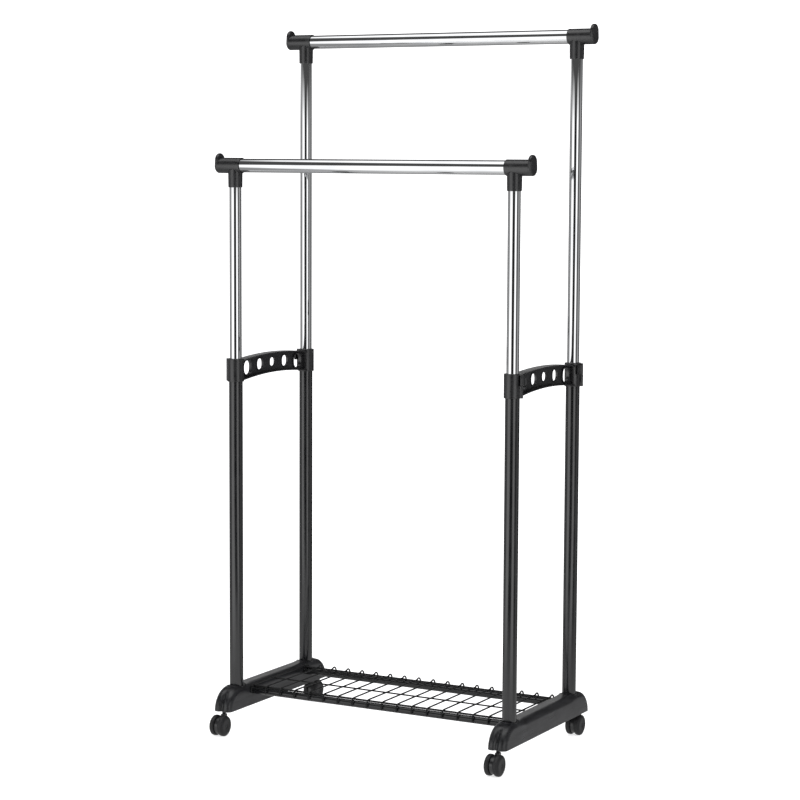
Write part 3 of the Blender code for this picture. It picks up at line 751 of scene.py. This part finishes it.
def build_bracket(side_name, side):
    """Arched web with graded round holes and two flanges, between a pair of clamp sleeves."""
    node = f"{side_name}_side_bracket"
    x = middle(f"front_{side_name}_lower_post").x
    bottom = low_z(node)
    top = middle(f"front_{side_name}_clamp_lever").z + SLEEVE_RISE
    outlines = [arch_strip(lambda y: arch_top(y) - 0.0008, lambda y: arch_low(y) + 0.0008)]
    rims = []
    for end in (-1, 1):
        for reach, radius, rim_half in HOLES:
            if reach or end > 0:
                y = end * reach
                centre = (MID_Y + y, (arch_top(y) + arch_low(y)) / 2)
                outlines.append(hole_outline(centre, radius))
                if rim_half:
                    rims.append((centre, radius, rim_half))
    web = prism(outlines, WEB_HALF, side_plane(x), 0.0)
    steps = []
    for centre, radius, rim_half in rims:
        ring = [hole_outline(centre, radius + HOLE_RIM), hole_outline(centre, radius)]
        steps.append(('UNION', prism(ring, rim_half, side_plane(x), 0.0005)))
    upper = arch_strip(arch_top, lambda y: arch_top(y) - FLANGE)
    lower = arch_strip(lambda y: arch_low(y) + FLANGE, arch_low)
    for outline in (upper, lower):
        steps.append(('UNION', prism([outline], FLANGE_HALF, side_plane(x), 0.0006)))
    for end_name, _end in ENDS:
        corner = f"{end_name}_{side_name}"
        y = middle(f"{corner}_lower_post").y
        lever_low = low_z(f"{corner}_clamp_lever")
        lever_top = high_z(f"{corner}_clamp_lever")
        pin_x = x + side * LEVER_PIVOT
        wall = fillet([(0.0, top), (SLEEVE_R, top), (SLEEVE_R, bottom), (0.0, bottom)], 0.0010, 4)
        sleeve = turned(wall, standing(x, y))
        root_x, root_y = x + side * EAR_ROOT[0], side * EAR_ROOT[1]
        facing = 0 if side > 0 else 180
        ear_outline = ([(root_x, y - root_y)]
                       + arc((pin_x, y), LEVER_HEAD_R, facing - 90, facing + 90, 16)
                       + [(root_x, y + root_y)])
        height = (top - bottom) / 2 - 0.0004
        ear = prism([ear_outline], height, standing(0, 0, (top + bottom) / 2), 0.0005)
        recess = bmesh.new()
        near_x = pin_x - side * (LEVER_HEAD_R + CLEAR)
        far_x = near_x + side * 0.03
        block(recess, (min(near_x, far_x), y - 0.02, lever_low - CLEAR),
              (max(near_x, far_x), y + 0.02, lever_top + CLEAR))
        pin_low, pin_top = lever_low - 0.002, lever_top + 0.0015
        pin = turned([(0.0, pin_low), (LEVER_PIN_R, pin_low), (LEVER_PIN_R, pin_top),
                      (0.0, pin_top)], standing(pin_x, y), SMALL_ROUND)
        ledge = high_z(f"{corner}_lower_post") + CLEAR
        throat = UPRIGHT_R + CLEAR
        bore = turned([(0.0, top + PAST), (throat + PAST, top + PAST), (throat, top - 0.0007),
                       (throat, ledge), (POST_R + CLEAR, ledge),
                       (POST_R + CLEAR, bottom + 0.0006), (POST_R + 0.011, bottom - PAST),
                       (0.0, bottom - PAST)], standing(x, y))
        steps += [('UNION', sleeve), ('UNION', ear), ('DIFFERENCE', recess), ('UNION', pin),
                  ('DIFFERENCE', bore)]
    piece(f"{node}_moulding", combined(web, steps), PLASTIC, "base", [node])


def build_lever(name, side, end, x, y):
    """Clamp lever: a round head on its pin and a tapered arm with grip ridges at its end."""
    node = f"{name}_clamp_lever"
    low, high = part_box(node)
    pin_x = x + side * LEVER_PIVOT
    height = (high[2] - low[2]) / 2
    mid_z = (high[2] + low[2]) / 2
    inner = -LEVER_HEAD_R
    outer = inner + LEVER_THICKNESS
    reach = LEVER_REACH
    outline = arc((0.0, 0.0), LEVER_HEAD_R, 180, 360, 20)    # out from the pin, along the arm
    outline += [(outer + 0.0012, 0.0028), (outer, 0.0042)]
    for i in range(2):
        ridge = 0.0078 + 0.0022 * i
        outline += [(outer, ridge), (outer + 0.0005, ridge + 0.0006), (outer, ridge + 0.0012)]
    outline += [(outer + 0.0009, reach), (outer + 0.0016, reach + 0.0012),
                (inner + 0.0018, reach + 0.0022), (inner, reach + 0.0008)]
    placed = [(pin_x + side * p, y - end * q) for p, q in outline]
    if side * end < 0:
        placed.reverse()
    arm = prism([placed], height, standing(0, 0, mid_z), 0.0004)
    bore = turned([(0.0, low[2] - PAST), (LEVER_BORE_R, low[2] - PAST),
                   (LEVER_BORE_R, high[2] + PAST), (0.0, high[2] + PAST)],
                  standing(pin_x, y), SMALL_ROUND)
    made = combined(arm, [('DIFFERENCE', bore)])
    piece(f"{node}_moulding", made, PLASTIC, f"{name}_lever", [node],
          (pin_x, y, mid_z))


# ---------------------------------------------------------------- wire shelf
WIRE_R = 0.0015
WIRE_COUNT = 18
WIRE_PITCH = 0.0309
WELD = 0.0007               # how deep crossing wires sink into each other
LONG_WIRE_END = 0.2630
MIDDLE_WIRE_Y = -0.0125
EDGE_WIRE_R = 0.0019
EDGE_INSET = 0.0010         # edge wires' axes, in from the tubes' axes
HOOK_R = 0.0095             # bend round the front tube
CURL_R = 0.0078             # bend over the rear tube
CURL_OFFSET = 0.0030
BEAD = (0.0021, 0.0021, 0.0009)     # half sizes of a weld bead


def build_grid():
    """Cross wires that wrap the front tube and hook over the rear one, on three long wires."""
    node = "shelf_wire_grid"
    front = middle("shelf_front_tube")
    rear = middle("shelf_rear_tube")
    edge_reach = SHELF_R + CLEAR + EDGE_WIRE_R
    edge_z = front.z + math.sqrt(edge_reach ** 2 - EDGE_INSET ** 2)
    deck_z = edge_z + EDGE_WIRE_R + WIRE_R - WELD
    hook = arc((front.y, deck_z - HOOK_R), HOOK_R, 208, 90, 20)
    curl_start = 135
    curl_z = deck_z - CURL_R * math.sin(math.radians(curl_start))
    curl = arc((rear.y + CURL_OFFSET, curl_z), CURL_R, curl_start, -25, 24)
    path = hook + curl
    wire_xs = [WIRE_PITCH * (i - (WIRE_COUNT - 1) / 2) for i in range(WIRE_COUNT)]
    middle_z = deck_z - 2 * WIRE_R + WELD
    runs = [(WIRE_R, [(x, y, z) for y, z in path]) for x in wire_xs]
    for radius, y, z in ((EDGE_WIRE_R, front.y + EDGE_INSET, edge_z),
                         (WIRE_R, MIDDLE_WIRE_Y, middle_z),
                         (EDGE_WIRE_R, rear.y - EDGE_INSET, edge_z)):
        runs.append((radius, [(end, y, z) for end in (-LONG_WIRE_END, 0.0, LONG_WIRE_END)]))
    bm = bmesh.new()
    for radius, run in runs:
        curve = bpy.data.curves.new(f"{node}_wire", 'CURVE')
        curve.dimensions = '3D'
        curve.bevel_depth = radius
        curve.bevel_resolution = 4
        curve.use_fill_caps = True
        spline = curve.splines.new('POLY')
        spline.points.add(len(run) - 1)
        for point, co in zip(spline.points, run):
            point.co = (*co, 1.0)
        take_curve(curve, bm)
    bmesh.ops.remove_doubles(bm, verts=bm.verts, dist=WELD_DISTANCE)
    for x in wire_xs:
        spot = standing(x, MIDDLE_WIRE_Y, deck_z - WIRE_R + 0.0002)
        flat = Matrix.Diagonal((*BEAD, 1.0))
        bmesh.ops.create_icosphere(bm, subdivisions=2, radius=1.0, matrix=spot @ flat)
    piece(f"{node}_wires", bm, BLACK_WIRE, "base", [node])


# ---------------------------------------------------------------- casters
NECK_R = 0.0025             # the stem's neck inside the hood
AXLE_BORE_R = 0.0021
HOOD_R = 0.0160
HOOD_BOSS = 0.0055          # the hood's boss, past the stem's axis
STEM_GROOVE = 0.0005        # depth of the ring cut into the stem


def build_caster(name, x):
    body = f"{name}_caster"
    stem = middle(f"{name}_caster_stem")
    axle = middle(f"{name}_caster_axle")
    stem_top = high_z(f"{name}_caster_stem")
    hood_top = high_z(f"{name}_caster_hood")
    stem_r = extent(f"{name}_caster_stem").x / 2
    groove_r = stem_r - STEM_GROOVE
    neck_low = low_z(f"{name}_caster_stem")
    profile = ([(0.0, stem_top)]
               + fillet([(0.0, stem_top), (stem_r, stem_top), (stem_r, stem_top - 0.004)],
                        0.0010, 4)[1:]
               + [(stem_r, stem_top - 0.0060), (groove_r, stem_top - 0.0064),
                  (groove_r, stem_top - 0.0084), (stem_r, stem_top - 0.0088),
                  (stem_r, hood_top + CLEAR), (NECK_R, hood_top + CLEAR), (NECK_R, neck_low),
                  (0.0, neck_low)])
    piece(f"{name}_caster_stem_pin", turned(profile, standing(x, stem.y), SMALL_ROUND),
          STEM_STEEL, body, [f"{name}_caster_stem"])
    boss_end = stem.y + HOOD_BOSS
    rim = arc((axle.y, axle.z), HOOD_R, -4, -298, 60)
    neck = fillet([(rim[-1][0], rim[-1][1]), (rim[-1][0], hood_top), (boss_end, hood_top),
                   (boss_end, rim[0][1])], 0.0015, 4)
    hood_half = extent(f"{name}_caster_hood").x / 2
    hood = prism([(rim + neck[1:])[::-1]], hood_half, side_plane(x), 0.0005)
    neck_bore_r = NECK_R + 0.0001
    neck_space = turned([(0.0, hood_top + PAST), (neck_bore_r, hood_top + PAST),
                         (neck_bore_r, neck_low - CLEAR), (0.0, neck_low - CLEAR)],
                        standing(x, stem.y), SMALL_ROUND)
    axle_space = turned([(0.0, -PAST), (AXLE_BORE_R, -PAST), (AXLE_BORE_R, PAST), (0.0, PAST)],
                        lying(x, axle.y, axle.z), SMALL_ROUND)
    piece(f"{name}_caster_hood_moulding",
          combined(hood, [('DIFFERENCE', neck_space), ('DIFFERENCE', axle_space)]),
          PLASTIC, body, [f"{name}_caster_hood"])
    axle_half = extent(f"{name}_caster_axle").x / 2
    for wheel_name, facing in SIDES:
        node = f"{name}_caster_{wheel_name}_wheel"
        low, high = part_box(node)
        inner, outer = sorted((abs(low[0] - x), abs(high[0] - x)))
        wheel_profile = (
            [(0.0, outer - 0.0012), (0.0034, outer - 0.0012)]
            + fillet([(0.0036, outer - 0.0012), (0.0044, outer - 0.0006), (0.0100, outer - 0.0002)],
                     0.0005, 3)
            + fillet([(0.0105, outer - 0.0001), (0.0140, outer - 0.0001), (WHEEL_R, outer - 0.0026),
                      (WHEEL_R, inner + 0.0032)], 0.0075, 12)
            + [(WHEEL_R, inner + 0.0030), (WHEEL_R - 0.0003, inner + 0.0014),
               (WHEEL_R - 0.0014, inner + 0.0002), (WHEEL_R - 0.0026, inner), (AXLE_BORE_R, inner),
               (AXLE_BORE_R, axle_half + CLEAR), (0.0, axle_half + CLEAR)])
        piece(f"{node}_tyre", turned(wheel_profile, lying(x, axle.y, axle.z, facing)), WHEEL,
              f"{name}_{wheel_name}_wheel", [node], (x, axle.y, axle.z))


def finish_hidden_nodes():
    """Give the CAD nodes that stay, inside tubes and wheels, their own materials."""
    for name, *_rest in corners():
        for suffix, material in (("guide_plug", PLASTIC), ("caster_axle", STEM_STEEL)):
            obj = bpy.data.objects[f"{name}_{suffix}"]
            obj.data.materials.clear()
            obj.data.materials.append(material)


# ---------------------------------------------------------------- studio
def stage_object(name, bm, material):
    mesh = bpy.data.meshes.new(name)
    bm.to_mesh(mesh)
    bm.free()
    mesh.materials.append(material)
    obj = bpy.data.objects.new(name, mesh)
    bpy.context.scene.collection.objects.link(obj)
    return obj


PALE = (0.93, 0.93, 0.935)
BACKGROUND = 1.6


def build_floor():
    """A wide pale floor that fades into the background's own brightness."""
    n = Nodes("pale_floor")
    x, y, _z = n.coordinates()
    far = n.span(n.hypot(x, y), 0.4, 5.0, 0.45, 1.0)
    colour = n.mix(n.span(n.noise(3.0), 0.3, 0.7), PALE, tuple(0.985 * c for c in PALE))
    n.surface(colour, 0.75, specular=0.1)
    glow = n.node("ShaderNodeEmission")
    n.feed(glow, {"Color": (*PALE, 1.0), "Strength": BACKGROUND})
    blend = n.node("ShaderNodeMixShader")
    n.feed(blend, {0: far, 1: n.shader.outputs[0], 2: glow.outputs[0]})
    n.link(blend.outputs[0], n.tree.nodes["Material Output"].inputs["Surface"])
    bm = bmesh.new()
    bmesh.ops.create_circle(bm, cap_ends=True, radius=60.0, segments=64)
    floor = stage_object("floor", bm, n.material)
    floor.visible_glossy = False


DOME_R = 6.0
# Glow of the reflectors around the rack: from and to in degrees about Z, softness and strength.
REFLECTOR_BANDS = (
    (108.0, 190.0, 4.0, 0.29), (-190.0, -138.0, 4.0, 0.28), (-138.0, -91.0, 4.0, 1.30),
    (-91.0, -47.0, 3.0, 0.02), (-47.0, -16.0, 4.0, 1.30), (-16.0, 9.0, 4.0, 0.06),
    (9.0, 44.0, 3.0, 0.33), (44.0, 108.0, 4.0, 0.10))
UPPER_WALL = 0.07           # strengths of the other zones
CEILING = 1.25
STRIP_BEHIND = 0.75
GROUND_FRONT, GROUND_REAR = 0.95, 0.34


def build_reflectors():
    """A closed dome seen only in reflections: tall soft boxes, dark gaps and a bright floor."""
    n = Nodes("reflector_dome")
    x, y, z = n.coordinates()
    azimuth = n.math('MULTIPLY', n.math('ARCTAN2', y, x), 180.0 / math.pi)
    walls = None
    for start, end, soft, strength in REFLECTOR_BANDS:
        rise = n.span(azimuth, start - soft, start + soft)
        fall = n.span(azimuth, end - soft, end + soft, strength, 0.0)
        band = n.math('MULTIPLY', rise, fall)
        walls = band if walls is None else n.math('ADD', walls, band)
    low = n.span(z, 1.8, 2.3, 1.0, 0.0)
    high = n.math('SUBTRACT', 1.0, low)
    sides = n.math('ADD', n.math('MULTIPLY', walls, low), n.math('MULTIPLY', high, UPPER_WALL))
    ceiling = n.math('MULTIPLY', n.span(z, 4.80, 5.10, 0.0, CEILING),
                     n.span(y, 0.8, 1.5, 1.0, 0.0))
    behind = n.math('MULTIPLY', n.span(azimuth, 92.0, 104.0), n.math(
        'MULTIPLY', n.span(z, 1.45, 1.75), n.span(z, 2.5, 2.8, STRIP_BEHIND, 0.0)))
    around = n.math('ADD', sides, n.math('ADD', ceiling, behind))
    ground = n.math('MULTIPLY', n.span(z, 0.01, 0.02, 1.0, 0.0),
                    n.span(n.hypot(x, y), 0.5, 1.25, 1.0, 0.0))
    ground_glow = n.span(y, -1.6, 0.9, GROUND_FRONT, GROUND_REAR)
    level = n.math('ADD', n.math('MULTIPLY', ground, ground_glow),
                   n.math('MULTIPLY', n.math('SUBTRACT', 1.0, ground), around))
    emission = n.node("ShaderNodeEmission")
    n.feed(emission, {"Color": (1.0, 1.0, 1.0, 1.0), "Strength": level})
    n.link(emission.outputs[0], n.tree.nodes["Material Output"].inputs["Surface"])
    bm = bmesh.new()
    bmesh.ops.create_uvsphere(bm, u_segments=72, v_segments=72, radius=DOME_R)
    underground = [v for v in bm.verts if v.co.z < -0.001]
    bmesh.ops.delete(bm, geom=underground, context='VERTS')
    bmesh.ops.create_circle(bm, cap_ends=True, radius=DOME_R + 0.01, segments=72)
    dome = stage_object("reflector_dome", bm, n.material)
    dome.visible_camera = False
    dome.visible_diffuse = False
    dome.visible_shadow = False
    dome.visible_transmission = False
    dome.visible_volume_scatter = False


def soft_light(name, location, target, size, energy):
    data = bpy.data.lights.new(name, 'AREA')
    data.shape = 'RECTANGLE'
    data.size, data.size_y = size
    data.energy = energy
    light = bpy.data.objects.new(name, data)
    light.location = location
    light.rotation_euler = (Vector(target) - Vector(location)).to_track_quat('-Z', 'Y').to_euler()
    light.visible_glossy = False
    bpy.context.scene.collection.objects.link(light)


def build_light():
    bpy.context.scene.view_settings.view_transform = 'Standard'
    world = bpy.data.worlds.new("studio")
    world.use_nodes = True
    background = world.node_tree.nodes["Background"]
    background.inputs["Color"].default_value = (*PALE, 1.0)
    background.inputs["Strength"].default_value = BACKGROUND
    bpy.context.scene.world = world
    aim = (0.0, 0.0, 0.6)
    soft_light("key_left", (-2.6, -3.0, 2.6), aim, (1.6, 2.2), 30.0)
    soft_light("fill_right", (3.2, -1.2, 2.0), aim, (1.4, 2.0), 20.0)
    soft_light("overhead", (0.0, 0.6, 3.6), aim, (3.0, 3.0), 25.0)


LENS = 104.611
SENSOR = 36.0
SHIFT = (-0.0036, -0.0070)
CAMERA_AT = (2.0338, MID_Y - 3.7097, 1.0709)
CAMERA_TURN = (28.7408, 5.9095, 0.284)      # yaw, pitch and roll in degrees


def build_camera():
    """A long lens at standing height, front right of the rack, looking a little down."""
    data = bpy.data.cameras.new("camera")
    data.lens = LENS
    data.sensor_width = SENSOR
    data.shift_x, data.shift_y = SHIFT
    data.clip_end = 200.0
    camera = bpy.data.objects.new("camera", data)
    yaw, pitch, roll = (math.radians(a) for a in CAMERA_TURN)
    forward = Vector((-math.sin(yaw) * math.cos(pitch), math.cos(yaw) * math.cos(pitch),
                      -math.sin(pitch)))
    right = Vector((math.cos(yaw), math.sin(yaw), 0.0))
    up = right.cross(forward)
    level_right = right * math.cos(roll) + up * math.sin(roll)
    level_up = up * math.cos(roll) - right * math.sin(roll)
    turn = Matrix((level_right, level_up, -forward)).transposed().to_4x4()
    camera.matrix_world = Matrix.Translation(CAMERA_AT) @ turn
    bpy.context.scene.collection.objects.link(camera)
    bpy.context.scene.camera = camera


# ---------------------------------------------------------------- assembly
build_camera()
for side_name, side in SIDES:
    build_foot(side_name, side)
    build_bracket(side_name, side)
build_posts()
for name, _side_name, side, end_name, end, x, y in corners():
    build_tee(name, side, end_name, x, y)
    build_lever(name, side, end, x, y)
    build_caster(name, x)
build_grid()
finish_hidden_nodes()
build_floor()
build_reflectors()
build_light()
